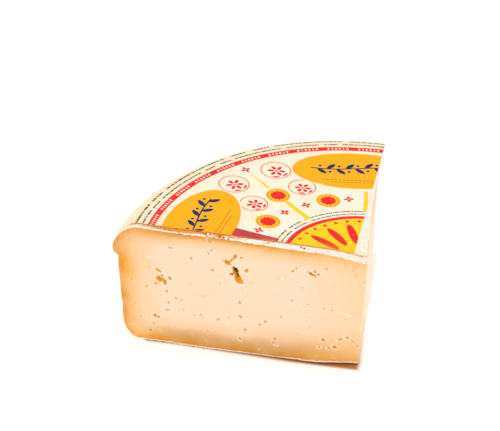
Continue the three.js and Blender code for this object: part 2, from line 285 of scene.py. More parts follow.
HOLLOW_EDGE_NOISE = 0.45  # how ragged a hollow's edge is, as a share of its size
RAG_SIZE = 1.9
BEND = 0.3  # how far noise bends a hollow, as a share of its width
BEND_SIZE = 3.1
WALL_POWER = 0.65  # under 1, so that a hollow's walls are steep and its floor flat
DEEPEST = 4.5
LIP_WIDTH = 0.8  # the paste round a hollow is torn and looks paler
FULL_LIP_DEPTH = 1.1  # shallower hollows have a fainter lip
# A fine slit where two layers of curd met, by distance from the tip edge and height.
SLIT = np.array([(0, 34.8), (14, 37.3), (23.3, 38.9), (32.9, 41), (42.2, 42.6), (55, 46.7), (64, 51)])
SLIT_DEPTH = 0.3
SLIT_WIDTH = 0.45
SLIT_LIP = (0.35, 0.9)  # how pale it is on average, and at most
SLIT_LIP_SIZE = 4


def scattered_hollows(random, count, lengths):
    """Hollows of random size and slant over a cut face, clear of the rind."""
    length = lengths[0] + (lengths[1] - lengths[0]) * random.random(count) ** SMALL_ONES_POWER
    return np.c_[
        random.uniform(*SCATTER_ALONG, count),
        random.uniform(*SCATTER_HEIGHTS, count),
        length,
        length * random.uniform(*SCATTER_WIDTHS, count),
        length * random.uniform(*SCATTER_DEPTHS, count),
        random.uniform(*SCATTER_SLANTS, count),
    ]


def relief(places, hollows, seed):
    """Depth of the hollows, how deep down in one each place is from 0 to 1, and how near to a lip."""
    rag = soft_noise(places, RAG_SIZE, seed)
    bend = BEND * np.c_[soft_noise(places, BEND_SIZE, seed + 2), soft_noise(places, BEND_SIZE, seed + 3)]
    deep = np.zeros(len(places))
    inside = np.zeros(len(places))
    lip = np.zeros(len(places))
    for along, height, length, width, depth, slant in hollows:
        near = np.flatnonzero(np.hypot(places[:, 0] - along, places[:, 1] - height) < 2 * length + 1.5)
        offset = places[near] - (along, height) + width * bend[near]
        down = -offset[:, 0] * math.cos(slant) + offset[:, 1] * math.sin(slant)
        across = offset[:, 0] * math.sin(slant) + offset[:, 1] * math.cos(slant)
        level = 1 - (down / length) ** 2 - (across / width) ** 2 + HOLLOW_EDGE_NOISE * rag[near]
        below = np.clip(level, 0, 1)
        outside = (np.sqrt(np.maximum(1 - level, 0)) - 1) * width
        paleness = min(1, (depth / FULL_LIP_DEPTH) ** 2) * np.clip(1 - outside / LIP_WIDTH, 0, 1)
        deep[near] = np.maximum(deep[near], depth * below**WALL_POWER)
        inside[near] = np.maximum(inside[near], np.sqrt(below) * min(1, depth / DEEPEST))
        lip[near] = np.maximum(lip[near], paleness)
    return deep, inside, lip


# The cheese as one closed body: the wheel's outline swept through the quarter, and a fine net over each
# cut face that shares the outline's points. Only the cut faces have hollows. Their edges are a little
# worn and chipped, as soft paste is.
FACE_STEPS = 215  # from the tip edge to the rim
RIM_STEPS = 120  # from the underside to the face
TURN_STEPS = 76  # round the quarter
WORN_EDGE = 0.35
CHIP_DEPTH = 0.9
CHIP_SIZES = (6, 2.2)  # of the coarse noise and the fine, which is half as strong
CHIP_FROM = 0.35  # noise under this leaves the edge whole
PASTE_WAVE = 0.16  # what the knife left
PASTE_WAVE_SIZES = (17, 7)
RIND_WAVE = 0.22
RIND_WAVE_SIZES = (9, 4)
RIND_WAVE_REACH = (138, 146)
RIND_WAVE_HEIGHTS = (1, 8)

rng = np.random.default_rng(20)
out = np.linspace(0, 1, FACE_STEPS + 1)
base = np.c_[BASE_RADIUS * out, base_height(BASE_RADIUS * out)]
rim = rim_outline(RIM_STEPS)
face = np.c_[CREST_RADIUS * out, face_height(CREST_RADIUS * out)]
tip = np.c_[np.zeros(RIM_STEPS + 1), np.linspace(base[0, 1], face[0, 1], RIM_STEPS + 1)]
outline = np.vstack([base, rim[1:], face[-2::-1]])
last = len(outline) - 1

# The net over a cut face, blended from its four edges: distance from the axis, and height.
u = out[:, None, None]
v = np.linspace(0, 1, RIM_STEPS + 1)[None, :, None]
sides = (1 - v) * base[:, None] + v * face[:, None] + (1 - u) * tip[None] + u * rim[None]
corners = (1 - u) * ((1 - v) * base[0] + v * face[0]) + u * ((1 - v) * base[-1] + v * face[-1])
net = sides - corners

# Point numbers: the two ends of the tip edge, the sweep, the tip edge, then the inside of each net.
turns = TURN_STEPS + 1
ring = 2 + (np.arange(last + 1)[:, None] - 1) * turns + np.arange(turns)[None]
ring[0] = 0
ring[last] = 1
tip_start = 2 + (last - 1) * turns
net_start = tip_start + RIM_STEPS - 1
inner = (FACE_STEPS - 1) * (RIM_STEPS - 1)


def net_numbers(start, column):
    """Numbers of a net's points. Its edges are the sweep's points at one end of the quarter."""
    numbers = np.zeros((FACE_STEPS + 1, RIM_STEPS + 1), int)
    numbers[:, 0] = ring[: FACE_STEPS + 1, column]
    numbers[-1] = ring[FACE_STEPS : FACE_STEPS + RIM_STEPS + 1, column]
    numbers[:, -1] = ring[last - np.arange(FACE_STEPS + 1), column]
    numbers[0, 1:-1] = tip_start + np.arange(RIM_STEPS - 1)
    numbers[1:-1, 1:-1] = start + np.arange(inner).reshape(FACE_STEPS - 1, RIM_STEPS - 1)
    return numbers


front_numbers = net_numbers(net_start, 0)
side_numbers = net_numbers(net_start + inner, turns - 1)

angles = np.linspace(0, math.pi / 2, turns)
places = np.zeros((net_start + 2 * inner, 3))
for step, (radius, height) in enumerate(outline):
    places[ring[step]] = np.c_[-radius * np.cos(angles), radius * np.sin(angles), np.full(turns, height)]
places[tip_start:net_start, 2] = tip[1:-1, 1]
inner_radius, inner_height = net[1:-1, 1:-1].reshape(-1, 2).T
places[net_start : net_start + inner] = np.c_[-inner_radius, np.zeros(inner), inner_height]
places[net_start + inner :] = np.c_[np.zeros(inner), inner_radius, inner_height]

# The rind is a little rough, but not where it carries the paper or stands on the table.
x, y, z = places.T  # views, which follow every change of places
radius = np.hypot(x, y)
rough = np.zeros(len(places))
swept = np.arange(len(places)) < tip_start
coarse, fine = RIND_WAVE_SIZES
rough[swept] = soft_noise(places[swept], coarse, 5) + 0.6 * soft_noise(places[swept], fine, 6)
rough *= RIND_WAVE * smoothstep(radius, *RIND_WAVE_REACH) * smoothstep(z, *RIND_WAVE_HEIGHTS)
places[:, :2] *= (1 + rough / np.maximum(radius, 1))[:, None]

# The cuts' own waves, then the relief of each face, which goes straight in from the cut.
moved = places.copy()
moved[:, 0] += side_cut(y) * smoothstep(x, -CUT_FADE, 0)
moved[:, 1] += front_cut(x) * smoothstep(-y, -CUT_FADE, 0)
flat = net.reshape(-1, 2)
front_hollows = np.vstack([FRONT_HOLLOWS, scattered_hollows(rng, SMALL_HOLLOWS, SMALL_LENGTHS)])
side_hollows = np.vstack(
    [
        scattered_hollows(rng, SIDE_LARGE_HOLLOWS, SIDE_LARGE_LENGTHS),
        scattered_hollows(rng, SMALL_HOLLOWS, SMALL_LENGTHS),
    ]
)
edge = np.zeros((FACE_STEPS + 1, RIM_STEPS + 1))
edge[-1] = edge[:, 0] = edge[:, -1] = WORN_EDGE
edge[0] = WORN_EDGE / 2  # the tip edge takes this from both faces
edge = edge.ravel()
pit = np.zeros(len(places))
torn = np.zeros(len(places))
for numbers, axis, inward, hollows, seed in (
    (front_numbers.ravel(), 1, 1, front_hollows, 40),
    (side_numbers.ravel(), 0, -1, side_hollows, 60),
):
    deep, inside, lip = relief(flat, hollows, seed)
    if hollows is front_hollows:
        off_slit = np.abs(flat[:, 1] - np.interp(flat[:, 0], *SLIT.T)) / SLIT_WIDTH
        slit = np.exp(-(off_slit**2)) * (flat[:, 0] < SLIT[-1, 0])
        middle, most = SLIT_LIP
        pale = np.clip(middle + most * soft_noise(flat, SLIT_LIP_SIZE, seed + 9), 0, most)
        deep = np.maximum(deep, SLIT_DEPTH * slit)
        lip = np.maximum(lip, slit * pale)
    coarse, fine = PASTE_WAVE_SIZES
    knife = PASTE_WAVE * (soft_noise(flat, coarse, seed + 5) + 0.5 * soft_noise(flat, fine, seed + 6))
    coarse, fine = CHIP_SIZES
    chip = soft_noise(flat, coarse, seed + 7) + 0.5 * soft_noise(flat, fine, seed + 8) - CHIP_FROM
    worn = edge * (1 + CHIP_DEPTH / WORN_EDGE * np.clip(chip, 0, 1))
    moved[numbers, axis] += inward * (deep + knife * (edge == 0) + worn)
    pit[numbers] = np.maximum(pit[numbers], inside)
    torn[numbers] = np.maximum(torn[numbers], lip)
moved = settle(moved)

# Where the wheel's axis stands in the shared frame, from the outermost points of the two cuts.
low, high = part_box("cheese")
AXIS = np.array([high.x / MM - TIP_X, low.y / MM + FRONT_CUT_WAVE, 0])


def quads(numbers):
    """Four-cornered faces between neighbouring points of a net."""
    corners = (numbers[:-1, :-1], numbers[1:, :-1], numbers[1:, 1:], numbers[:-1, 1:])
    return np.stack(corners, axis=-1).reshape(-1, 4)


def closed_mesh(name, points, faces, measures):
    """A smooth closed mesh from points in mm in the wheel's own frame, with measures kept on its points."""
    mesh = bpy.data.meshes.new(name)
    mesh.from_pydata(((points + AXIS) * MM).tolist(), [], faces)
    loose = bmesh.new()
    loose.from_mesh(mesh)
    bmesh.ops.recalc_face_normals(loose, faces=loose.faces)
    loose.to_mesh(mesh)
    loose.free()
    mesh.shade_smooth()
    for measure, values in measures.items():
        kept = mesh.attributes.new(measure, "FLOAT", "POINT")
        kept.data.foreach_set("value", np.asarray(values, np.float32))
    piece = bpy.data.objects.new(name, mesh)
    bpy.context.scene.collection.objects.link(piece)
    return piece


# How far each point of the paste is from the rind above, beside and below it, in mm. Beside it, that is
# to the wall and no further out, so the shoulder that overhangs the wall counts as dry.
flat_radius = np.zeros(len(places))
flat_height = np.zeros(len(places))
for numbers in (front_numbers, side_numbers):
    flat_radius[numbers] = net[:, :, 0]
    flat_height[numbers] = net[:, :, 1]
beside = np.minimum(np.interp(flat_height, rim[:, 1], rim[:, 0]), WALL_RADIUS) - flat_radius
above = face_height(flat_radius) - flat_height
below = flat_height - base_height(flat_radius)

# The paper's cut edges. They are needed here already, because the rind is stained along the front one.
PAPER_TIP = np.array([-7.1, 8])
PAPER_SIDE_END = np.array([0.3, 150])
PAPER_FRONT_BOW = np.array([-52, 8.5])
PAPER_FRONT_END = np.array([-150, 2.6])
PAPER_RADIUS = 143


def paper_front_edge(share):
    """A point on the bowed front edge, from 0 at the paper's tip to 1 past the rim."""
    share = np.asarray(share)[..., None]
    bow = 2 * share * (1 - share) * PAPER_FRONT_BOW
    return (1 - share) ** 2 * PAPER_TIP + bow + share**2 * PAPER_FRONT_END


edge_line = paper_front_edge(np.linspace(0, 1, 80))[::-1]
strip = np.interp(moved[:, 0], edge_line[:, 0], edge_line[:, 1]) - moved[:, 1]

# The sweep's first and last faces are three-cornered, since they meet in an end of the tip edge.
swept_faces = [list(dict.fromkeys(corners)) for corners in quads(ring).tolist()]
cut_faces = np.vstack([quads(front_numbers), quads(side_numbers)]).tolist()
cheese = closed_mesh(
    "cheese_quarter",
    moved,
    cut_faces + swept_faces,
    {
        "pit": pit,
        "torn": torn,
        "above": above,
        "beside": beside,
        "below": below,
        "strip": strip,
        "from_cut": moved[:, 1],
        "from_axis": np.hypot(moved[:, 0], moved[:, 1]),
    },
)
is_rind = np.arange(len(cheese.data.polygons)) >= len(cut_faces)
cheese.data.polygons.foreach_set("material_index", is_rind.astype(np.int32))
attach(cheese, "root")
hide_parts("cheese")


# Semi-soft cow's-milk paste, cut: moist, fat and slightly see-through, so light softens its edges and it
# has a faint wet shine. It is warm ivory in the middle, dries to honey towards the rind and is darker tan at
# the foot. The walls of its hollows are painted amber for light that comes through the paste, and their
# depths are painted dark brown as shade.
PASTE_PATTERNS = {  # size in mm, detail and roughness
    "cloud": (16, 3, 0.5),  # where the curd is a little wetter or drier
    "fray": (2.5, 2, 0.5),  # the uneven cut edge of the rind
    "grain": (1.1, 4, 0.5),  # grains of curd, pressed together
}
# How far the paste has dried, from 0 at the rind to 1 in the moist middle, in sRGB colours.
DRIED = (
    (0.0, "E8941A"),
    (0.08, "EE9E26"),
    (0.15, "F6AE48"),
    (0.25, "FABD6C"),
    (0.38, "FDCB90"),
    (0.6, "FFD6AA"),
    (1.0, "FFE1C3"),
)
DRY_DEPTHS = {"above": 12, "beside": 26, "below": 22}  # mm from the rind on each side to moist paste
DRY_BLEND = 0.18  # how softly one side's drying passes into the next
CLOUD_DRYNESS = 0.25  # the share by which the clouds move it, up or down
CLOUD_CLIMB = 2.5  # and the mm by which they move the tan foot's upper edge
BUTTERY_CLOUD = (0.45, 0.75, 0.55)  # where on the cloud it starts and is full, and its most
SMOOTH = "SMOOTHSTEP"
HOW_MUCH, UNDER, OVER, MIXED = 0, 6, 7, 2  # sockets of a mix of two colours


def srgb(code):
    """A colour as linear red, green, blue and alpha from its sRGB hex code."""
    parts = [int(code[i : i + 2], 16) / 255 for i in (0, 2, 4)]
    return [part / 12.92 if part <= 0.04045 else ((part + 0.055) / 1.055) ** 2.4 for part in parts] + [1]


PASTE_BUTTERY = srgb("FFDFB8")
PASTE_STRAW = srgb("FFD296")
PASTE_HONEY = srgb("F4AC4C")
PASTE_AMBER = srgb("EE981C")
TAN = srgb("A06822")
CROWN_BROWN = srgb("B9701E")
AMBER = srgb("F8AE22")
# Painted shade in the hollows, and painted deep shade at their bottoms.
HOLLOW_SHADE = srgb("E09A14")
HOLLOW_DEEP_SHADE = srgb("4A2404")
CURD_WHITE = srgb("FFF8F0")
RIND_EDGE = srgb("FFF8EC")
RIND_HEM = srgb("FFF0D4")
# Painted contact shadow: a fine brown line at the very foot of the cut faces.
FOOT_CONTACT_SHADOW = srgb("A0683A")
# Shades laid over the dried paste: each shade's most, and for each measure the mm at which it starts and
# is full. The tan foot and the brown top edge fade out again towards the rim and towards the tip.
EDGE_SHADES = (
    (PASTE_STRAW, 0.6, (("beside", 112, 150), ("from_cut", 6, 2))),  # the thin tip
    (PASTE_HONEY, 0.6, (("beside", 70, 140), ("below", 26, 2), ("from_cut", 6, 2))),  # its lower corner
    (PASTE_AMBER, 0.62, (("above", 12, 1), ("beside", 44, 12))),  # under the shoulder, the driest
    (TAN, 0.38, (("foot", 14.5, 6.5, SMOOTH), ("beside", 6, 34), ("beside", 143, 98))),
    (CROWN_BROWN, 0.34, (("above", 5, 1.2, SMOOTH), ("beside", 14, 34), ("beside", 112, 66))),
)
# Flecks of curd and pinholes: mm apart, the largest one's radius as a share of that, and the most.
SPECKS = ((CURD_WHITE, 5.5, 0.2, 0.8), (AMBER, 4.2, 0.2, 0.85))
SPECK_EDGE = 0.06
TORN_WHITE = 0.85
# In the hollows by depth: painted amber light through the paste, then painted shade, then painted deep shade.
HOLLOW_SHADES = ((AMBER, 0.01, 0.1), (HOLLOW_SHADE, 0.25, 0.55), (HOLLOW_DEEP_SHADE, 0.5, 0.8))  # by depth
# The rind, cut through: a pale line over the paste, its hem under it, and a painted brown contact shadow at
# the foot.
RIND_LINES_AND_FOOT_SHADOW = ((RIND_EDGE, "above", 0.7), (RIND_HEM, "below", 1.25), (FOOT_CONTACT_SHADOW, "below", 0.35))  # mm wide
RIND_LINE_FRAY = 0.8  # mm
RIND_LINE_SOFT = 0.25


def add(tree, kind, links=None, **settings):
    """Adds a node. links gives its inputs, each a value or another node's output, by name or number."""
    node = tree.nodes.new(kind)
    for name, value in settings.items():
        setattr(node, name, value)
    for name, value in (links or {}).items():
        if isinstance(value, bpy.types.NodeSocket):
            tree.links.new(value, node.inputs[name])
        else:
            node.inputs[name].default_value = value
    return node


def new_finish(name, measures=(), patterns=None):
    """A new material with its tree, the place on the piece, and what its finish is laid out by: measures
    kept on the mesh, and uneven patterns, each with a size in mm, detail and roughness."""
    material = bpy.data.materials.new(name)
    material.use_nodes = True
    tree = material.node_tree
    tree.nodes.clear()
    spot = add(tree, "ShaderNodeTexCoord").outputs["Object"]
    given = {}
    for measure in measures:
        given[measure] = add(tree, "ShaderNodeAttribute", attribute_name=measure).outputs["Fac"]
    for pattern, (size, detail, rough) in (patterns or {}).items():
        links = {"Vector": spot, "Scale": 1 / (size * MM), "Detail": detail, "Roughness": rough}
        given[pattern] = add(tree, "ShaderNodeTexNoise", links).outputs["Fac"]
    return material, tree, spot, given


def cover(piece, material, look):
    """Closes a material with its surface, whose look is given by socket, and puts it on a piece."""
    surface = add(material.node_tree, "ShaderNodeBsdfPrincipled", look)
    add(material.node_tree, "ShaderNodeOutputMaterial", {"Surface": surface.outputs[0]})
    piece.data.materials.append(material)


def share_of(tree, *spans, most=1.0):
    """How much there is of a shade or a glow, from 0 to most. Each span is a value and where on it that
    starts and is full, with the way it rises as a fourth item where that isn't linear."""
    amount = most
    for value, start, full, *way in spans:
        links = {"Value": value, "From Min": start, "From Max": full}
        rise = add(tree, "ShaderNodeMapRange", links, interpolation_type=way[0] if way else "LINEAR")
        links = {0: rise.outputs["Result"], 1: amount}
        amount = add(tree, "ShaderNodeMath", links, operation="MULTIPLY").outputs[0]
    return amount


def shaded(tree, colour, shade, *spans, most=1.0):
    """A colour with a shade laid over it, as much as the spans give."""
    links = {HOW_MUCH: share_of(tree, *spans, most=most), UNDER: colour, OVER: shade}
    return add(tree, "ShaderNodeMix", links, data_type="RGBA").outputs[MIXED]


paste, tree, spot, given = new_finish(
    "cut_semi_soft_paste", ("pit", "torn", "above", "beside", "below", "from_cut"), PASTE_PATTERNS
)
moist = None
for name, depth in DRY_DEPTHS.items():
    side = add(tree, "ShaderNodeMath", {0: given[name], 1: 1 / depth}, operation="MULTIPLY").outputs[0]
    if moist is None:
        moist = side
    else:
        links = {0: moist, 1: side, 2: DRY_BLEND}
        moist = add(tree, "ShaderNodeMath", links, operation="SMOOTH_MIN").outputs[0]
links = {0: given["cloud"], 1: 2 * CLOUD_DRYNESS, 2: 1 - CLOUD_DRYNESS}
uneven = add(tree, "ShaderNodeMath", links, operation="MULTIPLY_ADD").outputs[0]
moist = add(tree, "ShaderNodeMath", {0: moist, 1: uneven}, operation="MULTIPLY").outputs[0]
dried = add(tree, "ShaderNodeValToRGB", {"Fac": moist})
dried.color_ramp.interpolation = "EASE"
for number, (place, code) in enumerate(DRIED):
    stop = dried.color_ramp.elements[number] if number < 2 else dried.color_ramp.elements.new(place)
    stop.position = place
    stop.color = srgb(code)

links = {0: given["cloud"], 1: 2 * CLOUD_CLIMB, 2: -CLOUD_CLIMB}
climb = add(tree, "ShaderNodeMath", links, operation="MULTIPLY_ADD").outputs[0]
given["foot"] = add(tree, "ShaderNodeMath", {0: given["below"], 1: climb}, operation="ADD").outputs[0]
start, full, most = BUTTERY_CLOUD
colour = shaded(tree, dried.outputs["Color"], PASTE_BUTTERY, (given["cloud"], start, full), most=most)
for shade, most, spans in EDGE_SHADES:
    colour = shaded(tree, colour, shade, *((given[name], *span) for name, *span in spans), most=most)


def inside_specks(tree, spacing, size):
    """How far inside a round speck a place is. There are many sizes, the most of them tiny."""
    links = {"Vector": spot, "Scale": 1 / (spacing * MM), "Randomness": 1.0}
    cells = add(tree, "ShaderNodeTexVoronoi", links)
    draw = add(tree, "ShaderNodeSeparateColor", {"Color": cells.outputs["Color"]}).outputs["Red"]
    draw = add(tree, "ShaderNodeMath", {0: draw, 1: 3.0}, operation="POWER").outputs[0]
    reach = add(tree, "ShaderNodeMath", {0: draw, 1: size}, operation="MULTIPLY").outputs[0]
    links = {0: reach, 1: cells.outputs["Distance"]}
    return add(tree, "ShaderNodeMath", links, operation="SUBTRACT").outputs[0]


for shade, spacing, size, most in SPECKS:
    inside = inside_specks(tree, spacing, size)
    colour = shaded(tree, colour, shade, (inside, 0, SPECK_EDGE), most=most)
colour = shaded(tree, colour, CURD_WHITE, (given["torn"], 0, 1), most=TORN_WHITE)
# Painted light and shade in the hollows, by how deep down a place is.
for shade, start, full in HOLLOW_SHADES:
    colour = shaded(tree, colour, shade, (given["pit"], start, full))
links = {0: given["fray"], 1: 2 * RIND_LINE_FRAY, 2: -RIND_LINE_FRAY}
fray = add(tree, "ShaderNodeMath", links, operation="MULTIPLY_ADD").outputs[0]
# The rind's cut edges, and the painted contact shadow along the foot.
for shade, name, width in RIND_LINES_AND_FOOT_SHADOW:
    reach = add(tree, "ShaderNodeMath", {0: given[name], 1: fray}, operation="ADD").outputs[0]
    colour = shaded(tree, colour, shade, (reach, width + RIND_LINE_SOFT, width - RIND_LINE_SOFT))
bump = add(tree, "ShaderNodeBump", {"Strength": 0.2, "Distance": 0.25 * MM, "Height": given["grain"]})
wet = add(tree, "ShaderNodeMapRange", {"Value": given["grain"], "To Min": 0.38, "To Max": 0.62})
cover(
    cheese,
    paste,
    {
        "Base Color": colour,
        "Roughness": wet.outputs[0],
        "Normal": bump.outputs[0],
        "IOR": 1.45,
        "Specular IOR Level": 0.3,
        "Subsurface Weight": 0.2,
        "Subsurface Radius": (2.5 * MM, 1.5 * MM, 0.8 * MM),
        "Subsurface Scale": 1.0,
    },
)

# Dry natural rind. Cloth lined the mould, so its weave is pressed into the flat face and the underside,
# and brushing and turning left the wall straw-coloured with darker freckles. Salt and dried fat whiten
# the face; fat that crept out from under the paper has stained it orange along the paper's front edge.
RIND_FACE = srgb("FFFAF2")
RIND_THREAD = srgb("FBDDB4")
RIND_SHOULDER = srgb("FFF2CC")
RIND_WALL = srgb("F7DCAA")
RIND_FRECKLE = srgb("D2A466")
STAIN = srgb("F29A30")
STAIN_DARK = srgb("8E4A10")
RIND_PATTERNS = {  # size in mm, detail and roughness
    "mottle": (6, 5, 0.65),  # freckles from brushing and turning
    "blotch": (4, 4, 0.5),  # the stain's ragged edge
    "speck": (1.6, 3, 0.5),  # brown specks in the stain
    "fluff": (1.3, 3, 0.5),  # spots that the white has missed
}
FACE_FROM = (66 * MM, 80 * MM)  # heights between which the wall's colours pass into the face's
FRECKLES_FROM = (78 * MM, 68 * MM)
SHOULDER_FROM = (139, 146)  # mm from the axis
STAIN_RAG = 1.5  # mm that the stain's edge wanders either way
STAIN_SEAM = (1.2, 0.4)  # mm from the paper's edge between which the stain along all of it ends
STAIN_SEAM_RIM = (150, 134)  # mm from the axis between which it comes up, from the rim inwards
WHITE_HEM = (0.5, 1.3)  # mm from the cut: nearer the rim the stain goes on to here
WIDE_STAIN_TIP = (70, 84)  # mm from the axis between which that wide part comes up from the tip
WIDE_STAIN_RIM = (148, 124)  # and from the rim
UNDER_PAPER = (-1.5, -0.5)
PAST_STRIP = (9, 8)  # no stain further than this from the paper
WEAVE_PITCH = 1.6  # mm; real cloth is nearer 0.7 mm, drawn coarser so that it shows
WAVE_LENGTH = 0.314  # of the wave texture at scale 1
rind, tree, spot, given = new_finish("dry_natural_rind", ("strip", "from_cut", "from_axis"), RIND_PATTERNS)
height = add(tree, "ShaderNodeSeparateXYZ", {"Vector": spot}).outputs["Z"]
on_face = (height, *FACE_FROM, SMOOTH)
tint = shaded(tree, RIND_WALL, RIND_FACE, on_face)
tint = shaded(tree, tint, RIND_SHOULDER, (given["from_axis"], *SHOULDER_FROM), on_face)
tint = shaded(tree, tint, RIND_FRECKLE, (given["mottle"], 0.5, 0.72), (height, *FRECKLES_FROM), most=0.5)
links = {0: given["blotch"], 1: 2 * STAIN_RAG, 2: -STAIN_RAG}
ragged = add(tree, "ShaderNodeMath", links, operation="MULTIPLY_ADD").outputs[0]
seam = add(tree, "ShaderNodeMath", {0: given["strip"], 1: ragged}, operation="ADD").outputs[0]
seam = share_of(tree, (seam, *STAIN_SEAM), (given["from_axis"], *STAIN_SEAM_RIM), most=0.8)
hem = add(tree, "ShaderNodeMath", {0: given["from_cut"], 1: ragged}, operation="ADD").outputs[0]
wide = share_of(
    tree,
    (hem, *WHITE_HEM),
    (given["from_axis"], *WIDE_STAIN_TIP),
    (given["from_axis"], *WIDE_STAIN_RIM),
)
stained = add(tree, "ShaderNodeMath", {0: seam, 1: wide}, operation="MAXIMUM").outputs[0]
stained = share_of(
    tree, (stained, 0, 1), (given["strip"], *UNDER_PAPER), (given["strip"], *PAST_STRIP), on_face
)
tint = shaded(tree, tint, STAIN, (stained, 0, 1))
tint = shaded(tree, tint, STAIN_DARK, (given["speck"], 0.54, 0.62), (stained, 0, 1), most=0.85)
tint = shaded(tree, tint, RIND_THREAD, (given["fluff"], 0.5, 0.6), (stained, 1, 0), most=0.8)
links = {"Vector": spot, "Scale": WAVE_LENGTH / (WEAVE_PITCH * MM), "Distortion": 1.2, "Detail": 1.0}
warp, weft = (add(tree, "ShaderNodeTexWave", links, bands_direction=way).outputs["Fac"] for way in "XY")
cloth = add(tree, "ShaderNodeMath", {0: warp, 1: weft, 2: given["mottle"]}, operation="MULTIPLY_ADD")
bump = add(tree, "ShaderNodeBump", {"Strength": 0.35, "Distance": 0.3 * MM, "Height": cloth.outputs[0]})
cover(
    cheese,
    rind,
    {
        "Base Color": tint,
        "Roughness": 0.75,
        "Normal": bump.outputs[0],
        "IOR": 1.45,
        "Specular IOR Level": 0.3,
        "Subsurface Weight": 0.1,
        "Subsurface Radius": (4 * MM, 2.5 * MM, 1.5 * MM),
        "Subsurface Scale": 1.0,
    },
)

# Crumbs of paste and rind that the knife dragged up: most lie where it first bit, in a cluster on the
# front edge of the rind, and a few more lie along it. They have dried: some are as white as the rind,
# others amber from its stain.
CRUMB_CLUSTER = (-90.5, 0.7)  # its middle, and how far round it crumbs lie
CRUMB_SPREAD = (4.5, 0.9)
CRUMBS = 26
STRAY_CRUMBS = 16
STRAY_X = (-140, -8)
STRAY_Y = (0.6, 3.5)
CRUMB_LIMITS = ((-150, 0.1), (0, 4.5))  # no crumb lies past these
CRUMB_SIZES = (0.35, 1.15)
CRUMB_SHAPES = (0.6, 1.2)  # how long and how flat they are, as shares of that
CRUMB_LUMPS = 0.35
CRUMB_SUNK = 0.3  # as a share of its size
DRIED_WHITE = (0.44, 0.5)  # where on the patches amber takes over from white, and brown from amber
DRIED_BROWN = (0.52, 0.57)


def crumb_places(random):
    """Where each crumb's middle lies on the rind in the wheel's frame, seen from above."""
    near = np.array(CRUMB_CLUSTER) + random.normal(0, 1, (CRUMBS, 2)) * CRUMB_SPREAD
    stray = np.c_[random.uniform(*STRAY_X, STRAY_CRUMBS), random.uniform(*STRAY_Y, STRAY_CRUMBS)]
    return np.vstack([near, stray]).clip(*CRUMB_LIMITS)


lump = bmesh.new()
bmesh.ops.create_icosphere(lump, subdivisions=2, radius=1)
ball = np.array([vertex.co for vertex in lump.verts])
ball_faces = np.array([[vertex.index for vertex in face.verts] for face in lump.faces])
lump.free()
crumb_points = []
crumb_faces = []
for number, (x, y) in enumerate(crumb_places(rng)):
    size = CRUMB_SIZES[0] + (CRUMB_SIZES[1] - CRUMB_SIZES[0]) * rng.random() ** 2
    shape = ball * (1 + CRUMB_LUMPS * soft_noise(ball * 1.5 + 10 * number, 1.0, 300)[:, None])
    shape *= size * rng.uniform(*CRUMB_SHAPES, 3)
    top = face_height(np.hypot(x, y)) + size * (1 - 2 * CRUMB_SUNK) * 0.8
    crumb_points.append(shape + (x, y, top))
    crumb_faces.append(ball_faces + number * len(ball))
crumb_points = settle(np.vstack(crumb_points))
crumbs = closed_mesh("dragged_crumbs", crumb_points, np.vstack(crumb_faces).tolist(), {})
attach(crumbs, "root")

crumb_paste, tree, spot, given = new_finish("dried_paste_crumb", patterns={"patch": (1.8, 2, 0.5)})
tint = shaded(tree, CURD_WHITE, STAIN, (given["patch"], *DRIED_WHITE), most=0.9)
tint = shaded(tree, tint, STAIN_DARK, (given["patch"], *DRIED_BROWN), most=0.95)
cover(crumbs, crumb_paste, {"Base Color": tint, "Roughness": 0.7, "Specular IOR Level": 0.3})

# The paper disc: thin coated paper, printed and laid on the fresh wheel, where it dried on, and then cut
# with the cheese. It drew back from the front cut in a bow and was torn straight along the side. The
# sheet follows the dished face and turns down a little over the shoulder.
PAPER_GAP = 0.12
PAPER_THICKNESS = 0.16
PAPER_STEPS = 280  # along each side of its four-sided net
UNDERSIDE_STEP = 4  # the unseen underside has a net this much coarser
PAPER_COCKLE = 0.1
COCKLE_SIZE = 13
FINE_STEPS = 2000  # along an edge, to find where it passes the round edge


def polar(turn, radius):
    """A point at an angle from the front cut round to the side cut, and a distance from the axis."""
    turn, radius = np.broadcast_arrays(turn, radius)
    return np.stack([-radius * np.cos(turn), radius * np.sin(turn)], axis=-1)


def crossing(line):
    """How far along a line of points, from 0 to 1, it passes the paper's round edge."""
    radii = np.hypot(*line.T)
    return np.interp(PAPER_RADIUS, radii, np.linspace(0, 1, len(line)))


def paper_side_edge(share):
    """A point on the straight side edge, from 0 at the paper's tip to 1 past the rim."""
    return PAPER_TIP + (PAPER_SIDE_END - PAPER_TIP) * np.asarray(share)[..., None]


steps = np.linspace(0, 1, PAPER_STEPS + 1)
fine_steps = np.linspace(0, 1, FINE_STEPS)
front_edge = paper_front_edge(crossing(paper_front_edge(fine_steps)) * steps)
side_edge = paper_side_edge(crossing(paper_side_edge(fine_steps)) * steps)
turn_from = math.atan2(front_edge[-1, 1], -front_edge[-1, 0])
turn_to = math.atan2(side_edge[-1, 1], -side_edge[-1, 0])
turn_mid = (turn_from + turn_to) / 2
left_arc = polar(turn_from + (turn_mid - turn_from) * steps, PAPER_RADIUS)
right_arc = polar(turn_to + (turn_mid - turn_to) * steps, PAPER_RADIUS)
u = steps[:, None, None]
v = steps[None, :, None]
along_front = (1 - v) * front_edge[:, None] + v * right_arc[:, None]
along_side = (1 - u) * side_edge[None] + u * left_arc[None]
near_corners = (1 - v) * front_edge[0] + v * right_arc[0]
far_corners = (1 - v) * front_edge[-1] + v * right_arc[-1]
sheet = along_front + along_side - (1 - u) * near_corners - u * far_corners
flat = sheet.reshape(-1, 2)
reach = np.hypot(*flat.T)
cockle = PAPER_COCKLE * (0.5 + 0.5 * soft_noise(flat, COCKLE_SIZE, 90))
top_points = np.c_[flat, face_height(reach) + PAPER_GAP + PAPER_THICKNESS + cockle]
numbers = np.arange(len(flat)).reshape(PAPER_STEPS + 1, PAPER_STEPS + 1)

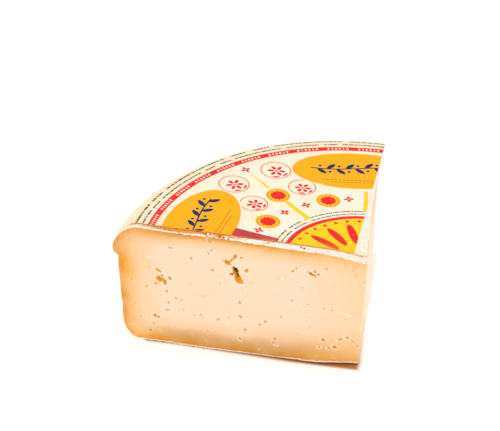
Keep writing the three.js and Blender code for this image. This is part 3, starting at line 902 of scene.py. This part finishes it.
# The underside has its own points at the same places, of which only the edge and every few inside serve.
under_points = top_points - (0, 0, PAPER_THICKNESS)
under = numbers + len(flat)
faces = quads(numbers).tolist()
for i in range(0, PAPER_STEPS, UNDERSIDE_STEP):
    for j in range(0, PAPER_STEPS, UNDERSIDE_STEP):
        a, b = i + UNDERSIDE_STEP, j + UNDERSIDE_STEP
        low_row = under[i : a + 1, j] if j == 0 else under[[i, a], j]
        far_column = under[a, j : b + 1] if a == PAPER_STEPS else under[a, [j, b]]
        high_row = under[i : a + 1, b] if b == PAPER_STEPS else under[[i, a], b]
        near_column = under[i, j : b + 1] if i == 0 else under[i, [j, b]]
        loop = [*low_row[:-1], *far_column[:-1], *high_row[:0:-1], *near_column[:0:-1]]
        faces.append([int(number) for number in reversed(loop)])
border = np.r_[numbers[:-1, 0], numbers[-1, :-1], numbers[:0:-1, -1], numbers[0, :0:-1]]
for here, there in zip(border, np.roll(border, -1)):
    faces.append([int(here), int(here + len(flat)), int(there + len(flat)), int(there)])
used = np.unique(np.concatenate([np.asarray(face) for face in faces]))
renumber = np.zeros(2 * len(flat), int)
renumber[used] = np.arange(len(used))
points = settle(np.vstack([top_points, under_points]))[used]
faces = [renumber[face].tolist() for face in faces]

# The print is laid out in rings and rays round the wheel's axis. Each colour is one measure on the
# paper's points: how far inside its shapes a point is, in mm. Angles go round from the front cut.
CENTRE_FIELD = 46.3  # radius of the yellow field round the axis
CENTRE_RING = (46.3, 49.3)  # the red ring round it
CENTRE_PETALS = (18, 19, 40, 5.2)  # their number, where they start and end, and their width
CENTRE_DOTS = (36, 42, 44.6, 2.2)
RED_BAND = (127.9, 132.1)
YELLOW_RAYS = ((45, 54, 80, 3.4, 2.6), (45, 96, 118, 2.0, 0.4), (85, 54, 79, 3.2, 2.2))
DARK_RED_RAY = (8.2, 54, 82, 7.5, 9.5)  # in degrees, from and to in mm, and its width at each end
OVAL_PLACES = ((103, 9), (103, 81))  # ring in mm and degrees
OVAL_HALF = (41, 21.5)
OVAL_MARGIN = 1.2  # bare paper kept round an oval
HOOP_MARGIN = 1.0
ROSETTES = ((69, 25), (69, 65), (86, 45))
ROSETTE_RADIUS = 7.6
ROSETTE_RIM = (14, 0, 8.2, 3.4)  # scalloped by petals
ROSETTE_PETALS = (12, 1.8, 5.4, 2.1)
ROSETTE_HEART = 2.2
ROSETTE_HOOP = 6.7
FLOWERS = ((68.5, 38), (68.5, 52), (69, 15), (69, 76), (121, 45))
FLOWER_PETALS = (4, 0.4, 3.2, 1.9)
HOOPS = ((112, 36.5, 9.6), (112, 53.5, 9.6), (88, 32.5, 8.6), (88, 57.5, 8.6))  # ring, degrees, radius
BLOSSOM_UP = 0.8  # it sits this far in from the hoop's middle
BLOSSOM_HEART = 0.9
NOWHERE = -9.0  # how far inside its shapes a point is where a colour has none


def seen_from(ring, degrees):
    """The paper's points as seen from a place on the disc: sideways along its ring, and outward."""
    turn = math.radians(degrees)
    outward = np.array([-math.cos(turn), math.sin(turn)])
    offset = flat - ring * outward
    return offset @ (math.sin(turn), math.cos(turn)), offset @ outward


def disc(sideways, outward, radius):
    """How far inside a round spot the points are."""
    return radius - np.hypot(sideways, outward)


def between_rings(inner, outer):
    """How far inside a band round the axis the points are."""
    return (outer - inner) / 2 - np.abs(reach - (inner + outer) / 2)


def oval(sideways, outward, half_width, half_height):
    """How far inside an ellipse round the place the points are."""
    share = np.hypot(sideways / half_width, outward / half_height)
    slope = np.hypot(sideways / half_width**2, outward / half_height**2)
    return (1 - share) * np.maximum(share, 1e-6) / np.maximum(slope, 1e-9)


def petals(sideways, outward, count, inner, outer, width):
    """How far inside a ring of petals round the place the points are."""
    sector = 2 * math.pi / count
    turn = (np.arctan2(sideways, outward) + sector / 2) % sector - sector / 2
    away = np.hypot(sideways, outward)
    half = (outer - inner) / 2
    return oval(away * np.cos(turn) - inner - half, away * np.sin(turn), half, width / 2)


def ray(degrees, inner, outer, inner_width, outer_width):
    """How far inside a tapered ray that points at the axis."""
    sideways, outward = seen_from(0, degrees)
    taper = (outward - inner) / (outer - inner)
    half_width = (inner_width + (outer_width - inner_width) * taper) / 2
    return np.minimum.reduce([half_width - np.abs(sideways), outward - inner, outer - outward])


def leaf(sideways, outward, place, slant, length, width):
    """How far inside a leaf that starts at a place and leans by slant from sideways."""
    u = (sideways - place[0]) * math.cos(slant) + (outward - place[1]) * math.sin(slant)
    v = -(sideways - place[0]) * math.sin(slant) + (outward - place[1]) * math.cos(slant)
    fold = np.clip(1 - ((u - length / 2) / (length / 2)) ** 2, 0, 1)
    return np.where((u > 0) & (u < length), fold * width / 2 - np.abs(v), -1.0)


middle = seen_from(0, 90)
angle = np.degrees(np.arctan2(flat[:, 1], -flat[:, 0]))
yellow = [CENTRE_FIELD - reach, *(ray(*values) for values in YELLOW_RAYS)]
red = [between_rings(*CENTRE_RING), petals(*middle, *CENTRE_PETALS), petals(*middle, *CENTRE_DOTS)]
hoop = []
for ring, degrees in ROSETTES:
    here = seen_from(ring, degrees)
    yellow += [petals(*here, *ROSETTE_RIM), disc(*here, ROSETTE_RADIUS)]
    red += [petals(*here, *ROSETTE_PETALS), disc(*here, ROSETTE_HEART)]
    hoop.append(disc(*here, ROSETTE_HOOP))
for ring, degrees in FLOWERS:
    red.append(petals(*seen_from(ring, degrees), *FLOWER_PETALS))

# Hoops with a blossom and two leaves in each.
for ring, degrees, radius in HOOPS:
    aside, away = seen_from(ring, degrees)
    hoop.append(disc(aside, away, radius))
    red.append(petals(aside, away + BLOSSOM_UP, 6, 1.5, 0.62 * radius, 2.3))
    red.append(disc(aside, away + BLOSSOM_UP, BLOSSOM_HEART))
    for side in (-1, 1):
        red.append(leaf(side * aside, away, (0.8, -0.86 * radius), 0.5, 0.6 * radius, 1.6))

# Orange ovals with a leafy sprig, its stem in a gentle wave, and two rows of fine dashes.
SPRIG_WAVE = (1.5, 11, 3)  # its height, its length as mm for each radian, and how far out it lies
SPRIG_HALF = (29, 0.5)
LEAF_SPACING = 6.2
LEAVES_EACH_WAY = 4
LEAF = (0.8, 8.6, 3.4)  # slant, length and width
BERRY = (2, 3.4, 1.05)  # how far along and off the stem, and its radius
DASH_ROWS = ((-11.5, 23), (-14, 16))  # how far out, and half their length
DASH_PITCH = 2.6
DASH_HALF = (0.75, 0.42)


def on_stem(sideways):
    """How far out a sprig's stem lies."""
    height, length, out = SPRIG_WAVE
    return height * np.sin(sideways / length) + out


orange = []
navy = []
brown = []
for ring, degrees in OVAL_PLACES:
    aside, away = seen_from(ring, degrees)
    orange.append(oval(aside, away, *OVAL_HALF))
    half_length, half_width = SPRIG_HALF
    navy.append(np.minimum(half_width - np.abs(away - on_stem(aside)), half_length - np.abs(aside)))
    for number in range(-LEAVES_EACH_WAY, LEAVES_EACH_WAY + 1):
        root = np.array([LEAF_SPACING * number, on_stem(LEAF_SPACING * number)])
        up = 1 if number % 2 else -1
        slant, length, width = LEAF
        navy.append(leaf(aside, away, root, slant * up, length, width))
        along, off, radius = BERRY
        navy.append(disc(aside - root[0] - along, away - root[1] + off * up, radius))
    for row, half_row in DASH_ROWS:
        dash = DASH_HALF[0] - np.abs((aside + row) % DASH_PITCH - DASH_PITCH / 2)
        line = np.minimum(DASH_HALF[1] - np.abs(away - row), half_row - np.abs(aside))
        brown.append(np.minimum(dash, line))
yellow, red, hoop, orange, navy, brown = (
    np.maximum.reduce(shapes) for shapes in (yellow, red, hoop, orange, navy, brown)
)
# The ovals keep the other colours off them, all but the red band, which runs across.
covered = orange > -OVAL_MARGIN
for shape in (yellow, red):
    shape[covered] = np.minimum(shape, -orange - OVAL_MARGIN)[covered]
red = np.maximum(red, between_rings(*RED_BAND))
hoop[orange > -HOOP_MARGIN] = NOWHERE

# The band's cream marks: lozenges and bars, in groups. Sizes in mm along the band and across it.
GROUP_DEGREES = 9.0
GROUP_HALF = 7.5
MARK_PITCH = 2.5
MARKS_BEFORE = 8  # counted from this many before a group's middle
BAR_HALF = (0.42, 1.0)
LOZENGE_HALF = 1.0
LOZENGE_SLOPE = 0.8
band_middle = sum(RED_BAND) / 2
along = np.radians(angle % GROUP_DEGREES - GROUP_DEGREES / 2) * band_middle
across = np.abs(reach - band_middle)
number, mark = np.divmod(along + MARKS_BEFORE * MARK_PITCH, MARK_PITCH)
mark = np.abs(mark - MARK_PITCH / 2)
bar = np.minimum(BAR_HALF[0] - mark, BAR_HALF[1] - across)
lozenge = LOZENGE_HALF - mark - LOZENGE_SLOPE * across
cream = np.minimum(np.where(number % 3 == 0, bar, lozenge), GROUP_HALF - np.abs(along))

print_measures = {
    "ring": reach,
    "turn": np.radians(angle),
    "tuck": flat[:, 1] - np.interp(flat[:, 0], *edge_line.T),
    "yellow": yellow,
    "orange": orange,
    "dark_red": ray(*DARK_RED_RAY),
    "red": red,
    "cream": cream,
    "brown": brown,
    "navy": navy,
    "hoop": hoop,
}
paper = closed_mesh(
    "paper_disc",
    points,
    faces,
    {name: np.r_[values, values][used] for name, values in print_measures.items()},
)
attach(paper, "root")
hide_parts("paper_label")

# Thin coated paper, printed in flat inks. The gloss has gone: it is grease-spotted, yellowed a little
# towards its round edge, and stained orange where it meets the cut.
PAPER_CREAM = srgb("FFF3DB")
PAPER_YELLOWED = srgb("FFE7BE")
INKS = {  # from the lowest to the topmost
    "yellow": "FFD50C",
    "orange": "FFB408",
    "dark_red": "C83E48",
    "red": "FA2529",
    "cream": "FFEBC8",
    "brown": "C07820",
    "navy": "232B5C",
}
INK_EDGE = 0.14  # mm over which an ink's edge is soft, either way
HOOP_INK = srgb("FF6E3C")
HOOP_LINE = (0.53, 0.23)  # mm from the hoop between which its line ends
TEXT_BROWN = srgb("6E5630")
# Rows of small marks, as fine print looks from a step away: ring, half height and marks for each mm.
MARK_ROWS = ((139.0, 0.8, 0.9), (135.1, 0.6, 1.2), (54.8, 0.55, 1.1), (51.7, 0.5, 1.1))
WORDS_PER_MARK = 0.13
ROW_EDGE = 0.25
MARKS_SHOW = (0.36, 0.46)  # where on their noise the marks come up
WORDS_SHOW = (0.3, 0.34)
PAPER_PATTERNS = {  # size in mm, detail and roughness
    "age": (18, 5, 0.6),  # yellowing and grease
    "scuff": (2.2, 4, 0.5),  # worn and frayed spots
    "fibre": (0.9, 3, 0.5),  # clumps of fibres, since single ones are too fine to show
}
YELLOWED_RING = (120, 140)  # mm from the axis between which the edge yellows
SCUFFED = (0.66, 0.74)
GREASE_REACH = 9  # mm from the front edge
GREASY = (0.42, 0.62)
EDGE_STAIN = (1.1, 0.3)  # mm from the front edge between which its stain ends
EDGE_RAG = 1.5  # mm by which the stain wanders either way
coated, tree, spot, given = new_finish("printed_coated_paper", print_measures, PAPER_PATTERNS)
colour = shaded(tree, PAPER_CREAM, PAPER_YELLOWED, (given["ring"], *YELLOWED_RING), most=0.8)
colour = shaded(tree, colour, PAPER_YELLOWED, (given["age"], 0.5, 0.7), most=0.8)


def off(tree, value, middle):
    """How far a value is from a middle, either way."""
    apart = add(tree, "ShaderNodeMath", {0: value, 1: middle}, operation="SUBTRACT")
    return add(tree, "ShaderNodeMath", {0: apart.outputs[0]}, operation="ABSOLUTE").outputs[0]


for ring, half, density in MARK_ROWS:
    links = {0: given["turn"], 1: ring * density}
    along = add(tree, "ShaderNodeMath", links, operation="MULTIPLY").outputs[0]
    marks, words = (
        add(tree, "ShaderNodeTexNoise", {"W": along, "Scale": scale, "Detail": detail}, noise_dimensions="1D")
        for scale, detail in ((1.0, 1.0), (WORDS_PER_MARK, 0.0))
    )
    colour = shaded(
        tree,
        colour,
        TEXT_BROWN,
        (off(tree, given["ring"], ring), half + ROW_EDGE, half - ROW_EDGE),
        (marks.outputs["Fac"], *MARKS_SHOW),
        (words.outputs["Fac"], *WORDS_SHOW),
    )
for name, code in INKS.items():
    colour = shaded(tree, colour, srgb(code), (given[name], -INK_EDGE, INK_EDGE))
colour = shaded(tree, colour, HOOP_INK, (off(tree, given["hoop"], 0), *HOOP_LINE))

# Wear: pale scuffs, and grease that came through from the cut.
colour = shaded(tree, colour, PAPER_CREAM, (given["scuff"], *SCUFFED), most=0.5)
colour = shaded(tree, colour, STAIN, (given["tuck"], GREASE_REACH, 0), (given["age"], *GREASY), most=0.35)
links = {0: given["scuff"], 1: 2 * EDGE_RAG, 2: -EDGE_RAG}
frayed = add(tree, "ShaderNodeMath", links, operation="MULTIPLY_ADD").outputs[0]
frayed = add(tree, "ShaderNodeMath", {0: given["tuck"], 1: frayed}, operation="ADD").outputs[0]
colour = shaded(tree, colour, STAIN, (frayed, *EDGE_STAIN), most=0.85)
bump = add(tree, "ShaderNodeBump", {"Strength": 0.15, "Distance": 0.1 * MM, "Height": given["fibre"]})
cover(
    paper,
    coated,
    {
        "Base Color": colour,
        "Roughness": 0.6,
        "Normal": bump.outputs[0],
        "IOR": 1.5,
        "Specular IOR Level": 0.12,
    },
)

# The table: a wide sheet of matt white acrylic with a painted glow, so that the ground is clear white.
# It doesn't glow under the cheese, and the narrow shadow in front of its foot is painted warm brown.
FLOOR_HALF = 3.0
FLOOR_WHITE = srgb("E4E1DE")
GLOW_WHITE = srgb("FFFFFF")
WARM_SHADOW = srgb("C27A3C")  # painted shadow colour, warm as if light had passed through the foot of the cheese
FOOT_OUT = 2.2 * MM  # how far the slumped foot stands out in front
LEFT_GLOW_NEARER = 4 * MM  # at the left end the painted glow starts this much nearer the foot, painting out its shadow
LEFT_GLOW_NEARER_X = (-40 * MM, -112 * MM)  # by x between these
WARM_ENDS = (3.6 * MM, 1.2 * MM)  # outside the cheese
WARM_ENDS_RIGHT = (3 * MM, 0)  # past the side cut
WARM_ENDS_BEHIND = (9 * MM, 4 * MM)  # behind the front cut
WARM_ENDS_RIM = (1 * MM, -1 * MM)  # past the underside's round edge
FLOOR_GLOW = 0.4
GLOW_FROM = (1 * MM, 5 * MM)  # outside the cheese
SIDE_GLOW = 0.33  # it glows more beside the side cut, which shades it
SIDE_GLOW_X = (45 * MM, 2 * MM)
SIDE_GLOW_INNER_X = (-6 * MM, -3 * MM)
SIDE_GLOW_Y = (2 * MM, 40 * MM)
floor_mesh = bpy.data.meshes.new("table_top")
floor_corners = [(x * FLOOR_HALF, y * FLOOR_HALF, 0) for x, y in ((-1, -1), (1, -1), (1, 1), (-1, 1))]
floor_mesh.from_pydata(floor_corners, [], [(0, 1, 2, 3)])
table_top = bpy.data.objects.new("table_top", floor_mesh)
bpy.context.scene.collection.objects.link(table_top)

white, tree, spot, given = new_finish("matt_white_acrylic")
from_axis = add(tree, "ShaderNodeVectorMath", {0: spot, 1: tuple(AXIS * MM)}, operation="SUBTRACT").outputs[0]
place = add(tree, "ShaderNodeSeparateXYZ", {"Vector": from_axis})
ring_out = add(tree, "ShaderNodeVectorMath", {0: from_axis}, operation="LENGTH").outputs["Value"]
ring_out = add(tree, "ShaderNodeMath", {0: ring_out, 1: BASE_RADIUS * MM}, operation="SUBTRACT").outputs[0]
links = {0: place.outputs["Y"], 1: -1.0, 2: -FOOT_OUT}
in_front = add(tree, "ShaderNodeMath", links, operation="MULTIPLY_ADD").outputs[0]
# How far outside the cheese's foot a place on the table lies.
outside = add(tree, "ShaderNodeMath", {0: in_front, 1: place.outputs["X"]}, operation="MAXIMUM").outputs[0]
outside = add(tree, "ShaderNodeMath", {0: outside, 1: ring_out}, operation="MAXIMUM").outputs[0]
# At the left end the painted glow starts nearer the foot, painting out its shadow there.
left_glow_nearer = share_of(tree, (place.outputs["X"], *LEFT_GLOW_NEARER_X), most=LEFT_GLOW_NEARER)
outside = add(tree, "ShaderNodeMath", {0: outside, 1: left_glow_nearer}, operation="ADD").outputs[0]
# Painted warm shadow on the table in front of the foot.
ground = shaded(
    tree,
    FLOOR_WHITE,
    WARM_SHADOW,
    (outside, *WARM_ENDS),
    (place.outputs["X"], *WARM_ENDS_RIGHT),
    (place.outputs["Y"], *WARM_ENDS_BEHIND),
    (ring_out, *WARM_ENDS_RIM),
)
at_side = share_of(
    tree,
    (place.outputs["X"], *SIDE_GLOW_X),
    (place.outputs["X"], *SIDE_GLOW_INNER_X),
    (place.outputs["Y"], *SIDE_GLOW_Y),
    most=SIDE_GLOW,
)
# The painted glow, kept off the cheese's foot and stronger beside the side cut.
glow = share_of(tree, (outside, *GLOW_FROM), most=FLOOR_GLOW)
glow = add(tree, "ShaderNodeMath", {0: glow, 1: at_side}, operation="ADD").outputs[0]
cover(
    table_top,
    white,
    {"Base Color": ground, "Roughness": 0.8, "Emission Color": GLOW_WHITE, "Emission Strength": glow},
)

# The studio: overcast-soft light from all round, a softbox high over the front, a weaker one over the
# back and a faint one low at the right.
ROOM_LIGHT = 0.77
AIM = (0, 0, 0.04)  # metres
SOFTBOXES = (  # name, place and size in metres, power in watts
    ("key_softbox", (-0.15, -0.45, 1.1), 0.9, 2.5),
    ("fill_softbox", (0.9, -0.1, 0.4), 0.6, 0.5),
    ("top_softbox", (0.0, 0.3, 1.2), 0.8, 1.6),
)
world = bpy.data.worlds.new("soft_white_room")
bpy.context.scene.world = world
world.use_nodes = True
sky = world.node_tree.nodes["Background"]
sky.inputs["Color"].default_value = srgb("FFFFFF")
sky.inputs["Strength"].default_value = ROOM_LIGHT


def stand(thing, right, up, forward, place):
    """Stands a light or a camera, which look down their own -Z, at a place in metres."""
    columns = np.c_[right, up, -np.asarray(forward), place]
    thing.matrix_world = Matrix(np.vstack([columns, [0, 0, 0, 1]]).tolist())
    bpy.context.scene.collection.objects.link(thing)


for name, place, size, power in SOFTBOXES:
    data = bpy.data.lights.new(name, "AREA")
    data.size = size
    data.energy = power
    forward = np.subtract(AIM, place)
    forward /= np.linalg.norm(forward)
    right = np.cross(forward, (0, 0, 1))
    right /= np.linalg.norm(right)
    stand(bpy.data.objects.new(name, data), right, np.cross(right, forward), forward, place)

# The camera stands low over the front cut, a little to the right of the tip, and looks left and down.
CAMERA_PLACE = (41.8, -808.2, 579.1)
CAMERA_TURN = math.radians(-7.86)
CAMERA_DOWN = math.radians(30.49)
CAMERA_ROLL = math.radians(2.39)
CAMERA_LENS = 115.2
SENSOR_WIDTH = 36
level = np.array([math.cos(CAMERA_TURN), -math.sin(CAMERA_TURN), 0])
ahead = np.array([math.sin(CAMERA_TURN), math.cos(CAMERA_TURN), 0])
forward = math.cos(CAMERA_DOWN) * ahead - (0, 0, math.sin(CAMERA_DOWN))
upright = np.cross(level, forward)
right = math.cos(CAMERA_ROLL) * level + math.sin(CAMERA_ROLL) * upright
up = -math.sin(CAMERA_ROLL) * level + math.cos(CAMERA_ROLL) * upright
camera_data = bpy.data.cameras.new("camera")
camera_data.sensor_width = SENSOR_WIDTH
camera_data.lens = CAMERA_LENS
camera = bpy.data.objects.new("camera", camera_data)
stand(camera, right, up, forward, (np.array(CAMERA_PLACE) + AXIS) * MM)
bpy.context.scene.camera = camera
bpy.context.scene.view_settings.view_transform = "Standard"
